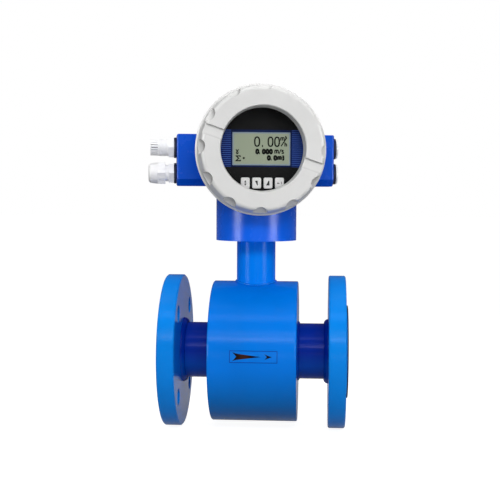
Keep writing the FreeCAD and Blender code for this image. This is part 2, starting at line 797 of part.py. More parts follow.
def display_panel():
    body = part("display_panel", in_head=True)
    sketch = sketch_on(body, "XZ_Plane", "panel_back")
    draw_circle(sketch, "0", "0", "panel_radius")
    draw_rounded(sketch, "0", "lcd_up", "lcd_wide", "lcd_high", "lcd_corner")
    for index in range(len(KEYS)):
        draw_rounded(sketch, key_place(index), "-key_drop", "(key_wide + 2 * key_gap)",
                     "(key_high + 2 * key_gap)", "(key_corner + key_gap)")
    extrude(body, sketch, "panel_thick")


def lcd_module():
    body = part("lcd_module", in_head=True)
    for back, front, margin in (("display_board_front", "panel_back", "module_margin"),
                                ("panel_back", "(panel_front - lcd_sink)", "(-lcd_gap)")):
        sketch = sketch_on(body, "XZ_Plane", back)
        draw_rounded(sketch, "0", "lcd_up", f"(lcd_wide + 2 * {margin})",
                     f"(lcd_high + 2 * {margin})", "lcd_corner")
        extrude(body, sketch, f"{front} - {back}")


def key(name, index):
    """A key cap through the panel, with the brim behind it that keeps it in."""
    body = part(f"key_{name}", in_head=True)
    for back, front, brim in (("key_brim_back", "panel_back", "key_brim"),
                              ("panel_back", "(panel_front + key_proud)", "0")):
        sketch = sketch_on(body, "XZ_Plane", back)
        draw_rounded(sketch, key_place(index), "-key_drop", f"(key_wide + 2 * {brim})",
                     f"(key_high + 2 * {brim})", "key_corner")
        extrude(body, sketch, f"{front} - {back}")

    def front_edge(edge):
        box = edge.BoundBox
        return box.YLength < NEAR and abs(box.YMin + number("panel_front + key_proud")) < NEAR
    round_edges(body, front_edge, "key_proud / 2")


def key_switches():
    members = []
    for index in range(len(KEYS)):
        switch = doc.addObject("Part::Box", "KeySwitch")
        bind(switch, Length="switch_side", Width="switch_front - display_board_front",
             Height="switch_side", Placement__Base__x=f"{key_place(index)} - switch_side / 2",
             Placement__Base__y="-switch_front", Placement__Base__z="-key_drop - switch_side / 2")
        members.append(switch)
    group("key_switches", members, in_head=True)


def electronics():
    disc("display_board", "display_board_back", "display_board_front", "display_board_radius")
    disc("main_board", "main_board_front - board_thick", "main_board_front", "board_radius")
    disc("power_board", "power_board_front - board_thick", "power_board_front", "board_radius")
    posts("panel_posts", "display_board_front", "panel_back", [
        (f"{side} * (panel_radius - {inset})", height) for side in (-1, 1) for inset, height in (
            ("panel_post_inset", "panel_post_up"), ("low_post_inset", "-low_post_down"))])
    square = [(f"{sx} * post_spread", f"{sz} * post_rise") for sx in (-1, 1) for sz in (-1, 1)]
    posts("front_posts", "main_board_front", "display_board_back", square)
    posts("middle_posts", "power_board_front", "main_board_front - board_thick", square)
    posts("rear_posts", "-wall_front", "power_board_front - board_thick", square)


def terminal_block():
    body = part("terminal_block", in_head=True)
    low, high = "(terminal_up - terminal_high / 2)", "(terminal_up + terminal_high / 2)"
    rear, ledge = "(wall_rear + terminal_deep)", "(wall_rear + terminal_deep - terminal_step)"
    sketch = sketch_on(body, "YZ_Plane")
    draw_outline(sketch, [("wall_rear", low), ("wall_rear", high), (ledge, high),
                          (ledge, "terminal_up"), (rear, "terminal_up"), (rear, low)])
    extrude(body, sketch, "terminal_wide", both_ways=True)
    places = [f"{index} * terminal_pitch - (terminal_count - 1) / 2 * terminal_pitch"
              for index in range(round(number("terminal_count")))]
    sketch = sketch_on(body, "XZ_Plane", f"-{rear}")
    for x in places:
        draw_rounded(sketch, x, f"({low} + terminal_high / 4)", "terminal_mouth", "terminal_mouth",
                     "mouth_corner")
    extrude(body, sketch, "terminal_step", cut=True)
    sketch = sketch_on(body, "XZ_Plane", f"-{ledge}")
    for x in places:
        draw_circle(sketch, x, f"{high} - terminal_high / 4", "terminal_screw")
    extrude(body, sketch, "terminal_screw", cut=True)
    screws = []
    for x in places:
        screw = doc.addObject("Part::Cylinder", "TerminalScrew")
        screw.Placement = Placement(Vector(), Rotation(Vector(1, 0, 0), 90))
        bind(screw, Radius="terminal_screw", Height="terminal_screw_thick", Placement__Base__x=x,
             Placement__Base__y=f"{ledge} - terminal_screw + terminal_screw_thick",
             Placement__Base__z=f"{high} - terminal_high / 4")
        screws.append(screw)
    group("terminal_screws", screws, in_head=True)


# ---- cable glands and blanking plugs ------------------------------------------------

def washer(label, side, height, thick):
    outer, edge = "washer_radius", "washer_edge"
    section = [("0", "gland_thread"), ("0", f"{outer} - {edge}"), (edge, outer),
               (f"{thick} - {edge}", outer), (thick, f"{outer} - {edge}"), (thick, "gland_thread")]
    turned_on_x(label, [(f"{side} * (entry_reach + {along})", radius) for along, radius in section],
                in_head=True, ahead="-gland_back", up=height)


def gland_body(label, height, pinch):
    """Thread, hexagon, barrel and a ring of clamping claws about one bore."""
    body = turned_on_x(label, [(f"-({along})", radius) for along, radius in [
        ("entry_reach - gland_tail", "claw_bore"), ("entry_reach - gland_tail", "gland_thread"),
        ("washer_end", "gland_thread"), ("washer_end", "barrel_radius"),
        ("barrel_end", "barrel_radius"), ("barrel_end", "claw_radius"),
        ("claw_end", f"claw_radius - {pinch}"), ("claw_end", f"claw_bore - {pinch}"),
        ("barrel_end", "claw_bore")]], in_head=True, ahead="-gland_back", up=height)
    sketch = sketch_on(body, "YZ_Plane", "-hex_end", height, "gland_back")
    draw_outline(sketch, hexagon("gland_flats"))
    draw_circle(sketch, "0", "0", "(claw_bore + barrel_radius) / 2")
    extrude(body, sketch, "gland_hex")
    sketch = sketch_on(body, "YZ_Plane", "-claw_end", height, "gland_back")
    draw_outline(sketch, [("claw_bore / 2", "-claw_slit / 2"), ("gland_thread", "-claw_slit / 2"),
                          ("gland_thread", "claw_slit / 2"), ("claw_bore / 2", "claw_slit / 2")])
    slit = extrude(body, sketch, "claw_length - claw_slit", cut=True)
    repeat_round(body, slit, (sketch, ["N_Axis"]), "claw_count")


def gland_insert(label, height, outline):
    turned_on_x(label, [(f"-({along})", radius) for along, radius in outline],
                in_head=True, ahead="-gland_back", up=height)


def gland_cap(height):
    """The domed nut: a hexagon that runs into a rounded nose, hollow over barrel and claws."""
    collar_end = "(claw_end + insert_gap + insert_collar)"
    body = turned_on_x("lower_gland_nut", [(f"-({along})", radius) for along, radius in [
        ("cap_back", "barrel_radius + cap_gap"), ("cap_back", "cap_shoulder"),
        ("cap_back + cap_hex", "cap_shoulder"), ("cap_end", "cap_nose"), ("cap_end", "cap_mouth"),
        (collar_end, "cap_mouth"), (collar_end, "claw_radius - claw_pinch"),
        ("claw_end", "claw_radius - claw_pinch + claw_gap"),
        ("barrel_end", "barrel_radius + cap_gap")]], in_head=True, ahead="-gland_back", up=height)
    round_edges(body, ring_edge(0, "-cap_end", "cap_nose"), "cap_round")
    sketch = sketch_on(body, "YZ_Plane", "-(cap_back + cap_hex)", height, "gland_back")
    draw_outline(sketch, hexagon("cap_flats"))
    draw_circle(sketch, "0", "0", "(cap_shoulder + barrel_radius) / 2")
    extrude(body, sketch, "cap_hex")


def glands():
    for place, height, pinch in (("upper", "gland_upper", "0"), ("lower", "-gland_lower", "claw_pinch")):
        washer(f"{place}_gland_washer", -1, height, "washer_thick")
        gland_body(f"{place}_gland_body", height, pinch)
    sleeve = "(claw_bore - insert_gap)"
    gland_insert("upper_gland_insert", "gland_upper", [
        ("hex_end", "insert_bore"), ("hex_end", sleeve), ("claw_end - claw_slit", sleeve),
        ("claw_end - claw_slit", "insert_bore")])
    sleeve = "(claw_bore - claw_pinch - insert_gap)"
    collar = "(claw_radius - claw_pinch - insert_gap)"
    gland_insert("lower_gland_insert", "-gland_lower", [
        ("hex_end", "insert_bore"), ("hex_end", sleeve), ("claw_end + insert_gap", sleeve),
        ("claw_end + insert_gap", collar), ("claw_end + insert_gap + insert_collar", collar),
        ("claw_end + insert_gap + insert_collar", "insert_bore")])
    gland_cap("-gland_lower")


def plug(place, height):
    washer(f"{place}_plug_washer", 1, height, "plug_washer")
    tail, seat = "entry_reach - gland_tail", "entry_reach + plug_washer"
    body = turned_on_x(f"{place}_plug", [
        (tail, "0"), (tail, "gland_thread"), (seat, "gland_thread"), (seat, "plug_radius"),
        (f"{seat} + plug_head - washer_edge", "plug_radius"),
        (f"{seat} + plug_head", "plug_radius - washer_edge"), (f"{seat} + plug_head", "0")],
        in_head=True, ahead="-gland_back", up=height)
    sketch = sketch_on(body, "YZ_Plane", f"{seat} + plug_head", height, "gland_back")
    draw_outline(sketch, [
        ("-plug_radius", "-plug_slot / 2"), ("plug_radius", "-plug_slot / 2"),
        ("plug_radius", "plug_slot / 2"), ("-plug_radius", "plug_slot / 2")])
    extrude(body, sketch, "plug_slot_deep", cut=True, back=True)


# ---- the whole meter ----------------------------------------------------------------

measuring_tube()
liner()
flange("inlet_flange", -1)
flange("outlet_flange", 1)
group("electrode_nuts", [electrode("near", 1), electrode("far", -1)])
magnet("upper", 1)
magnet("lower", -1)
yoke()
coil_housing()
neck()
converter_housing()
clamp_screws()
front_cover()
rear_cover()
display_panel()
lcd_module()
for index, name in enumerate(KEYS):
    key(name, index)
key_switches()
electronics()
terminal_block()
glands()
plug("upper", "gland_upper")
plug("lower", "-gland_lower")
doc.recompute()

for item in doc.Objects:
    if "Invalid" in item.State or "Error" in item.State:
        raise RuntimeError(f"{item.Label} did not build: {item.State}")
for piece in pieces:
    if piece.Shape.isNull() or not piece.Shape.isValid() or not piece.Shape.Solids:
        raise RuntimeError(f"{piece.Label} has no sound solid")
os.makedirs("parts", exist_ok=True)
for piece in pieces:
    piece.Shape.exportStep(f"parts/{piece.Label}.step")
    print(f"{piece.Label}: {len(piece.Shape.Solids)} solid(s), {piece.Shape.Volume:.0f} mm3")
print(f"{len(pieces)} pieces written")
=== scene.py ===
import json
import math
import bpy
import numpy as np
from mathutils import Matrix, Vector


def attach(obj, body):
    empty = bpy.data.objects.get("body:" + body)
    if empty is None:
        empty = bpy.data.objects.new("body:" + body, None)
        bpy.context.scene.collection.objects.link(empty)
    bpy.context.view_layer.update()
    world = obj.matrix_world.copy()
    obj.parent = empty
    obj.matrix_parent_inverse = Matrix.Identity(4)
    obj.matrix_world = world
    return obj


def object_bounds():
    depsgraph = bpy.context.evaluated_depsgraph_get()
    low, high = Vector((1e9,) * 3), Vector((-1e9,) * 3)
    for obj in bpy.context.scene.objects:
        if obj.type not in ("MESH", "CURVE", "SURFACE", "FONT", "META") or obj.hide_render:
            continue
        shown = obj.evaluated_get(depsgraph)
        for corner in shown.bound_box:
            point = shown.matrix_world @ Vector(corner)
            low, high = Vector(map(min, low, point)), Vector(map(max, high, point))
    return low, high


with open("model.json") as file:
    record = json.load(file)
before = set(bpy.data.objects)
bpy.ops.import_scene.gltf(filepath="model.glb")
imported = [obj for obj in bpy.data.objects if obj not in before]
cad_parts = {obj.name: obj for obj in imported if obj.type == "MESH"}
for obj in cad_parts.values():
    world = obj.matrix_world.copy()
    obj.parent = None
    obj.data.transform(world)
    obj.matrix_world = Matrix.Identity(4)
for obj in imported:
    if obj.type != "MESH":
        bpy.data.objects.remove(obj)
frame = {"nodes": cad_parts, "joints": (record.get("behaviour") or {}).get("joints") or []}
nodes = frame["nodes"]
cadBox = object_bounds()
print("frame loaded with", len(nodes), "nodes")

mm = 0.001
joints = {joint["name"]: joint for joint in frame["joints"]}
up = np.array((0.0, 0.0, 1.0))
headMiddle = np.array(joints["front_cover_turn"]["pos_m"])    # the head's axis meets the neck's here
ahead = np.array(joints["front_cover_turn"]["axis"])    # out through the window
aside = np.cross(up, ahead)    # to the right of someone who reads it


def inHead(x, y, z):
    # place = middle of the head + x * aside + y * ahead + z * up, with x, y and z in millimetres
    x, y, z = (np.asarray(v, float)[..., None] for v in np.broadcast_arrays(x, y, z))
    return headMiddle + (x * aside + y * ahead + z * up) * mm


def gridQuads(rows, columns, closeRows=False, closeColumns=False):
    # each cell of the grid joins point (r, c) to (r+1, c), (r+1, c+1) and (r, c+1)
    r, c = np.meshgrid(np.arange(rows - (not closeRows)), np.arange(columns - (not closeColumns)),
                       indexing="ij")
    nextRow, nextColumn = (r + 1) % rows, (c + 1) % columns
    corners = (r * columns + c, nextRow * columns + c, nextRow * columns + nextColumn,
               r * columns + nextColumn)
    return np.stack(corners, -1).reshape(-1, 4)


def turnedOut(points, quads, facing):
    # a sheet faces the way of its summed area vector; a closed form has a positive volume
    p = points[quads]
    if facing is None:
        size = np.einsum("ij,ij->", p[:, 0],
                         np.cross(p[:, 1], p[:, 2]) + np.cross(p[:, 2], p[:, 3]))
    else:
        size = np.cross(p[:, 2] - p[:, 0], p[:, 3] - p[:, 1]).sum(0) @ np.asarray(facing, float)
    return quads if size > 0 else quads[:, ::-1]


def putPiece(name, points, quads, material, body, facing=None, smooth=True):
    # a mesh of these points and quads, with its finish and the body that carries it
    points = np.asarray(points, float).reshape(-1, 3)
    quads = turnedOut(points, quads, facing)
    mesh = bpy.data.meshes.new(name)
    mesh.from_pydata(points.tolist(), [], quads.tolist())
    mesh.polygons.foreach_set("use_smooth", np.full(len(quads), smooth))
    mesh.materials.append(material)
    mesh.update()
    piece = bpy.data.objects.new(name, mesh)
    bpy.context.scene.collection.objects.link(piece)
    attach(piece, body)
    return piece


def joined(sheets):
    # several grids of points and quads as one: each grid's indices move on by the points before it
    offsets = np.cumsum([0] + [len(points) for points, quads in sheets[:-1]])
    return (np.concatenate([points for points, quads in sheets]),
            np.concatenate([quads + first for (points, quads), first in zip(sheets, offsets)]))


def thicken(piece, thick):
    # the sheet keeps its outer face, and a second one lies thick metres behind it
    wall = piece.modifiers.new("thickness", "SOLIDIFY")
    wall.thickness = thick
    wall.offset = -1.0
    return piece


def linear(r, g, b):
    # a screen's colour, 0 to 255, as light: c / 12.92 where dark, else ((c + 0.055) / 1.055) ** 2.4
    c = np.array((r, g, b)) / 255.0
    return tuple(np.where(c <= 0.04045, c / 12.92, ((c + 0.055) / 1.055) ** 2.4)) + (1.0,)


class Finish:
    # a material with its shader, and short ways to hang patterns on it
    def __init__(self, name, colour, roughness, metallic=0.0, coat=0.0, ior=1.5):
        self.material = bpy.data.materials.new(name)
        self.material.use_nodes = True
        self.tree = self.material.node_tree
        self.shader = self.tree.nodes["Principled BSDF"]
        self.colour = linear(*colour)
        self.place = self.tree.nodes.new("ShaderNodeTexCoord").outputs["Object"]
        for socket, value in (("Base Color", self.colour), ("Roughness", roughness),
                              ("Metallic", metallic), ("Coat Weight", coat),
                              ("Coat Roughness", 0.08), ("IOR", ior)):
            self.shader.inputs[socket].default_value = value
        self.roughness = roughness
        self.normal = None

    def node(self, kind, links=(), **values):
        # values are the node's own settings or its sockets' numbers, with _ for a space in a name
        made = self.tree.nodes.new(kind)
        for key, value in values.items():
            if hasattr(made, key):
                setattr(made, key, value)
            else:
                made.inputs[key.replace("_", " ")].default_value = value
        for socket, source in links:
            self.tree.links.new(source, made.inputs[socket])
        return made

    def mapped(self, scale=(1, 1, 1), turn=(0, 0, 0)):
        # the piece's own coordinates times scale, turned back by turn
        return self.node("ShaderNodeMapping", [(0, self.place)], vector_type="TEXTURE",
                         Rotation=turn, Scale=tuple(1.0 / s for s in scale)).outputs[0]

    def noise(self, scale, detail=3.0, place=None):
        # soft blotches, about 1 / scale metres across
        return self.node("ShaderNodeTexNoise", [("Vector", place or self.place)],
                         Scale=scale, Detail=detail).outputs["Fac"]

    def ramp(self, source, *stops):
        # a colour for each place from 0 to 1, blended evenly between the stops
        made = self.node("ShaderNodeValToRGB", [(0, source)])
        elements = made.color_ramp.elements
        while len(elements) < len(stops):
            elements.new(0.5)
        for element, (place, colour) in zip(elements, stops):
            element.position, element.color = place, colour
        return made.outputs[0]

    def level(self, source, low, high, fromLow=0.0, fromHigh=1.0):
        # low + (high - low) * (source - fromLow) / (fromHigh - fromLow), kept between low and high
        return self.node("ShaderNodeMapRange", [(0, source)], From_Min=fromLow, From_Max=fromHigh,
                         To_Min=low, To_Max=high).outputs[0]

    def tint(self, source, spread, low=0.35, high=0.65):
        # the colour times 1 - spread up to 1 + spread, as the pattern goes from low to high
        dark, light = (tuple(c * share for c in self.colour[:3]) + (1.0,)
                       for share in (1 - spread, 1 + spread))
        self.paint(self.ramp(source, (low, dark), (high, light)))
        return self

    def paint(self, source):
        self.tree.links.new(source, self.shader.inputs["Base Color"])
        return self

    def dull(self, source, spread):
        # roughness - spread up to roughness + spread, as the pattern goes from 0.3 to 0.7
        uneven = self.level(source, self.roughness - spread, self.roughness + spread, 0.3, 0.7)
        self.tree.links.new(uneven, self.shader.inputs["Roughness"])
        return self

    def times(self, factor):
        # the colour so far, times a grey or coloured factor
        before = self.shader.inputs["Base Color"].links[0].from_socket
        return self.paint(self.node("ShaderNodeVectorMath", [(0, before), (1, factor)],
                                    operation="MULTIPLY").outputs[0])

    def paintedCornerShade(self, reach, depth):
        # painted shade: the colour times 1 - depth in corners, up to all of it, as what is open
        # within reach goes from 0.35 to 0.95
        closeness = self.node("ShaderNodeAmbientOcclusion", samples=8, only_local=True,
                              Distance=reach)
        return self.times(self.level(closeness.outputs["AO"], 1 - depth, 1.0, 0.35, 0.95))

    def paintedShadeByHeight(self, low, high, lowShare, highShare):
        # painted shade by height: the colour times lowShare, going over to highShare from below to
        # above
        height = self.node("ShaderNodeSeparateXYZ", [(0, self.place)]).outputs["Z"]
        share = self.level(height, 0, 1, low, high)
        return self.times(self.ramp(share, (0.0, (*lowShare, 1)), (1.0, (*highShare, 1))))

    def relief(self, source, height, strength=1.0):
        # bumps up to height metres, laid over those made before
        links = [("Height", source)] + ([("Normal", self.normal)] if self.normal else [])
        bumps = self.node("ShaderNodeBump", links, Strength=strength, Distance=height)
        self.normal = bumps.outputs[0]
        self.tree.links.new(self.normal, self.shader.inputs["Normal"])
        return self


def enamel(name, colour, roughness=0.18, ior=1.2):
    # sprayed gloss enamel: faint cloudiness, fine orange peel, a slightly uneven shine
    paint = Finish(name, colour, roughness, ior=ior)
    paint.tint(paint.noise(16, 4), 0.05).dull(paint.noise(70, 3), 0.05)
    return paint.relief(paint.noise(520, 2), 0.00004, 0.2).relief(paint.noise(40, 2), 0.0003, 0.03)


def castPaint(name, colour, roughness=0.42, grain=0.00012, ior=1.45):
    # powder coat over a casting: small bumps of the powder over the soft waves of the cast skin
    paint = Finish(name, colour, roughness, ior=ior)
    paint.tint(paint.noise(30, 5), 0.03).dull(paint.noise(90, 3), 0.05)
    return paint.relief(paint.noise(900, 3), grain, 0.12).relief(paint.noise(60, 2), 0.0005, 0.035)


def nylon(name, colour):
    # a little light goes in and comes out again 2 mm away, under a fine moulded grain
    plastic = Finish(name, colour, 0.36)
    plastic.shader.inputs["Subsurface Weight"].default_value = 0.25
    plastic.shader.inputs["Subsurface Radius"].default_value = (0.002, 0.002, 0.002)
    plastic.tint(plastic.noise(120, 3), 0.02).dull(plastic.noise(200, 2), 0.05)
    return plastic.relief(plastic.noise(2200, 2), 0.00003, 0.3)


def rubber(name, colour):
    # dull and blotchy, with a fine rough skin
    soft = Finish(name, colour, 0.62)
    soft.tint(soft.noise(200, 4), 0.18).dull(soft.noise(400, 3), 0.08)
    return soft.relief(soft.noise(1500, 4), 0.00005, 0.4)


def metal(name, colour, roughness, stretch):
    # turned or drawn metal: noise stretched along the way the tool ran
    bright = Finish(name, colour, roughness, metallic=1.0)
    lines = bright.noise(1.0, 3, bright.mapped(stretch))
    return bright.tint(lines, 0.12).dull(lines, 0.07).relief(lines, 0.00002, 0.3)


def moulded(name, colour, roughness=0.5, ior=1.5):
    # plastic, board or ink: faint cloudiness under a fine grain
    plastic = Finish(name, colour, roughness, ior=ior)
    plastic.tint(plastic.noise(150, 3), 0.06).dull(plastic.noise(300, 2), 0.06)
    return plastic.relief(plastic.noise(1800, 3), 0.00004, 0.3)


# the blue coats, some with painted shade by height: heights in metres, and the share of red, green
# and blue left below and above
drumPaint = enamel("drumPaint", (0, 119, 226))
# painted shade: the drum darker towards its underside
drumPaint.paintedShadeByHeight(-0.055, -0.01, (1, 0.84, 0.7), (1, 1, 1))
# the flanges and the neck carry the drum's blue in lighter copies: painted light
flangePaint = enamel("flangePaint", (4, 130, 227))
neckPaint = enamel("neckPaint", (0, 134, 252), ior=1.11)
# the tube's navy is a darker copy of the same blue, painted shade, and painted shade darkens its
# upper half further
tubePaint = enamel("tubePaint", (0, 72, 176), roughness=0.2)
tubePaint.paintedShadeByHeight(-0.012, 0.002, (1, 1, 0.95), (1, 0.36, 0.68))
headPaint = castPaint("headPaint", (0, 102, 242), roughness=0.25, ior=1.26)
# painted shade: the housing darker above the pedestal, from 150 to 172 mm up
headPaint.paintedShadeByHeight(0.15, 0.172, (1, 1, 1), (1, 0.68, 0.72))
coverPaint = castPaint("coverPaint", (224, 224, 223), roughness=0.4, grain=0.00009)
# painted shade in the cover's slot, flutes and corners
coverPaint.paintedCornerShade(0.003, 0.3)
whiteNylon = nylon("whiteNylon", (251, 251, 251))
plugNylon = nylon("plugNylon", (248, 248, 249))
blackRubber = rubber("blackRubber", (24, 24, 26))
navyRubber = rubber("navyRubber", (12, 18, 56))
greyRubber = rubber("greyRubber", (70, 71, 74))
stainless = metal("stainless", (200, 200, 202), 0.28, (900, 900, 60))
poleSteel = metal("poleSteel", (120, 122, 126), 0.42, (60, 900, 900))
turnedBrass = metal("turnedBrass", (205, 170, 95), 0.3, (900, 60, 900))
insulator = moulded("insulator", (226, 224, 215), 0.45)
switchBlack = moulded("switchBlack", (30, 30, 31), 0.5)
terminalGreen = moulded("terminalGreen", (34, 92, 62), 0.45)
holderBlack = moulded("holderBlack", (22, 22, 23), 0.55)
keyWhite = moulded("keyWhite", (253, 253, 253), 0.42)
keyInk = moulded("keyInk", (40, 40, 42), 0.6)
lcdInk = moulded("lcdInk", (6, 8, 7), 0.55, 1.2)
panelBlack = moulded("panelBlack", (24, 24, 25), 0.6, 1.15)

# liner: soft rubber with the turned rings of a sealing face, 1.6 mm apart from the bore outwards
linerRubber = rubber("linerRubber", (20, 20, 22))
rings = linerRubber.node("ShaderNodeTexWave", [("Vector", linerRubber.place)], wave_type="RINGS",
                         rings_direction="X", Scale=196.0, Distortion=0.0)
linerRubber.relief(rings.outputs["Fac"], 0.0002, 0.45)

# coil: enamelled copper, its turns laid side by side under a varnish
copperTurns = metal("copperTurns", (196, 112, 62), 0.34, (300, 300, 300))
turns = copperTurns.node("ShaderNodeTexWave", [("Vector", copperTurns.place)], wave_type="BANDS",
                         bands_direction="Z", Scale=180.0, Distortion=1.2)
copperTurns.relief(turns.outputs["Fac"], 0.0003, 0.5)

# circuit board: green mask with the faint rectangles of its copper areas
boardGreen = moulded("boardGreen", (24, 96, 52), 0.4)
upright = (math.pi / 2, 0, 0)    # turns a pattern from the floor's plane to a standing one
tracks = boardGreen.node("ShaderNodeTexBrick", [("Vector", boardGreen.mapped(turn=upright))],
                         Scale=60.0, Mortar_Size=0.06, Color1=linear(24, 96, 52),
                         Color2=linear(20, 84, 46), Mortar=linear(48, 128, 74))
boardGreen.paint(tracks.outputs["Color"])

# window: clear glass that lets the light through to the display
windowClear = Finish("windowClear", (20, 24, 24), 0.04)
windowClear.shader.inputs["Alpha"].default_value = 0.07
windowClear.dull(windowClear.noise(60, 2), 0.02)
windowClear.material.surface_render_method = "BLENDED"

dressed = {
    drumPaint: ["housing_shell", "housing_end_inlet", "housing_end_outlet"],
    flangePaint: ["inlet_flange", "outlet_flange"],
    neckPaint: ["neck_tube", "neck_seat"],
    tubePaint: ["measuring_tube"],
    headPaint: ["converter_housing"],
    coverPaint: ["front_cover", "rear_cover"],
    linerRubber: ["liner"],
    navyRubber: ["upper_gland_washer", "lower_gland_washer", "upper_plug_washer",
                 "lower_plug_washer"],
    blackRubber: ["neck_seal", "front_cover_seal", "rear_cover_seal", "window_gasket"],
    greyRubber: ["upper_gland_insert", "lower_gland_insert"],
    stainless: ["electrode_near", "electrode_far", "electrode_nuts", "clamp_screws",
                "terminal_screws"],
    poleSteel: ["electrode_boss_near", "electrode_boss_far", "upper_pole", "lower_pole", "yoke"],
    insulator: ["electrode_bush_near", "electrode_bush_far"],
    copperTurns: ["upper_coil", "lower_coil"],
    windowClear: ["window_glass"],
    holderBlack: ["window_holder"],
    panelBlack: ["display_panel", "lcd_module"],
    keyWhite: ["key_menu", "key_down", "key_up", "key_enter"],
    switchBlack: ["key_switches"],
    terminalGreen: ["terminal_block"],
    boardGreen: ["display_board", "main_board", "power_board"],
    turnedBrass: ["panel_posts", "front_posts", "middle_posts", "rear_posts"],
    whiteNylon: ["upper_gland_body", "lower_gland_body", "lower_gland_nut"],
    plugNylon: ["upper_plug", "lower_plug"],
}
for finish, names in dressed.items():
    for name in names:
        nodes[name].data.materials.clear()
        nodes[name].data.materials.append(finish.material)
bare = set(nodes) - {name for names in dressed.values() for name in names}
print("nodes dressed:", len(nodes) - len(bare), "left bare:", sorted(bare))


def ribbon(path, width, closed=False, sharpest=0.45):
    # each point moves both ways along its mitre, by half the width over the cosine of half the
    # bend, which is held above sharpest
    path = np.asarray(path, float)
    before, after = np.roll(path, 1, 0), np.roll(path, -1, 0)
    if not closed:
        before[0], after[-1] = 2 * path[0] - path[1], 2 * path[-1] - path[-2]
    steps = [d / np.linalg.norm(d, axis=1, keepdims=True) for d in (path - before, after - path)]
    normals = [np.stack([-d[:, 1], d[:, 0]], 1) for d in steps]
    mitre = normals[0] + normals[1]
    mitre /= np.maximum(np.linalg.norm(mitre, axis=1, keepdims=True), 1e-9)
    reach = width / 2 / np.maximum((mitre * normals[0]).sum(1, keepdims=True), sharpest)
    points = np.stack([path - mitre * reach, path + mitre * reach], 1).reshape(-1, 2)
    return points, gridQuads(len(path), 2, closeRows=closed)


def oval(x, z, halfWide, halfHigh, count=28, power=1.0):
    # x + halfWide * cos a and z + halfHigh * sin a, squared up as the power falls below 1
    a = np.linspace(0, 2 * np.pi, count, endpoint=False)
    c, s = np.cos(a), np.sin(a)
    return np.stack([x + halfWide * np.sign(c) * abs(c) ** power,
                     z + halfHigh * np.sign(s) * abs(s) ** power], 1)


# strokes of each figure in a box one unit wide and one high: (points, whether the line closes)
strokes = {
    "0": [(oval(0.5, 0.5, 0.42, 0.5, power=0.8), True)],
    ".": [([(0.1, 0.02), (0.42, 0.02)], False)],
    "m": [([(0.05, 0.0), (0.05, 0.62)], False),
          ([(0.05, 0.5), (0.2, 0.62), (0.4, 0.6), (0.48, 0.5), (0.48, 0.0)], False),
          ([(0.48, 0.5), (0.62, 0.62), (0.82, 0.6), (0.92, 0.5), (0.92, 0.0)], False)],
    "s": [([(0.85, 0.58), (0.3, 0.62), (0.15, 0.47), (0.3, 0.34), (0.7, 0.3), (0.85, 0.15),
            (0.7, 0.02), (0.1, 0.04)], False)],
    "h": [([(0.1, 0.0), (0.1, 1.0)], False),
          ([(0.1, 0.5), (0.35, 0.64), (0.7, 0.6), (0.82, 0.45), (0.82, 0.0)], False)],
    "3": [([(0.1, 0.95), (0.6, 1.0), (0.8, 0.78), (0.65, 0.56), (0.35, 0.53), (0.65, 0.5),
            (0.85, 0.26), (0.6, 0.0), (0.08, 0.06)], False)],
    "/": [([(0.0, 0.0), (1.0, 1.0)], False)],
    "sum": [([(0.9, 0.8), (0.84, 1.0), (0.08, 1.0), (0.55, 0.52), (0.05, 0.02), (0.86, 0.02),
              (0.94, 0.22)], False)],
    "+": [([(0.5, 0.05), (0.5, 0.95)], False), ([(0.05, 0.5), (0.95, 0.5)], False)],
    "flow": [([(0.0, 0.98), (0.5, 0.52), (1.0, 0.98)], False),
             (oval(0.5, 0.22, 0.32, 0.24, 16), True)],
}

# dark figures on the screen, in millimetres about the head's middle
readout = {
    "ahead": 52.2, "thick": 0.03,
    # figure, left edge, foot, width, height, line width
    "figures": [
        ("0", -7.4, 3.5, 5.8, 9.3, 1.5), (".", 0.2, 3.6, 3.4, 3.0, 2.1),
        ("0", 6.6, 3.5, 5.6, 9.3, 1.5), ("0", 13.4, 3.5, 5.6, 9.3, 1.5),
        ("m", 19.8, 9.4, 4.0, 5.0, 1.1), ("3", 24.3, 11.2, 1.7, 2.6, 0.9),
        ("/", 20.4, 3.6, 6.0, 9.0, 1.15), ("h", 24.2, 3.4, 2.4, 4.2, 1.1),
        ("0", -5.6, -4.0, 2.7, 4.0, 1.9), (".", -2.6, -3.9, 2.6, 2.0, 1.9),
        ("0", 1.2, -4.0, 2.6, 4.0, 1.9), ("0", 4.9, -4.0, 2.6, 4.0, 1.9),
        ("0", 8.6, -4.0, 2.6, 4.0, 1.9), ("m", 13.8, -3.9, 4.0, 5.6, 1.15),
        ("/", 18.3, -4.2, 2.2, 4.8, 0.95), ("s", 20.8, -3.9, 2.6, 5.4, 1.15),
        ("0", 6.4, -10.5, 2.7, 4.0, 1.9), (".", 9.5, -10.4, 2.6, 2.0, 1.9),
        ("0", 13.1, -10.5, 2.7, 4.0, 1.9),
        ("m", 16.9, -10.5, 3.9, 5.4, 1.6), ("3", 21.4, -10.5, 2.2, 4.0, 1.5),
        ("flow", -26.3, -4.4, 2.6, 4.6, 1.0), ("sum", -26.4, -11.7, 5.2, 5.0, 1.25),
        ("+", -19.4, -10.0, 2.3, 2.3, 1.3),
    ],
}


def sheetInHead(name, flatSheets, level, thick, finish, body):
    # flat (x, z) sheets stood up in the head, level ahead of its middle, all in millimetres
    points, quads = joined(flatSheets)
    piece = putPiece(name, inHead(points[:, 0], level, points[:, 1]), quads, finish.material, body,
                     facing=ahead, smooth=False)
    return thicken(piece, thick * mm)


figureSheets = []
for figure, x, z, wide, high, line in readout["figures"]:
    for path, closed in strokes[figure]:
        placed = np.asarray(path, float) * (wide, high) + (x, z)
        figureSheets.append(ribbon(placed, line, closed))
sheetInHead("lcdFigures", figureSheets, readout["ahead"], readout["thick"], lcdInk, "head")
print("readout drawn:", len(figureSheets), "strokes")


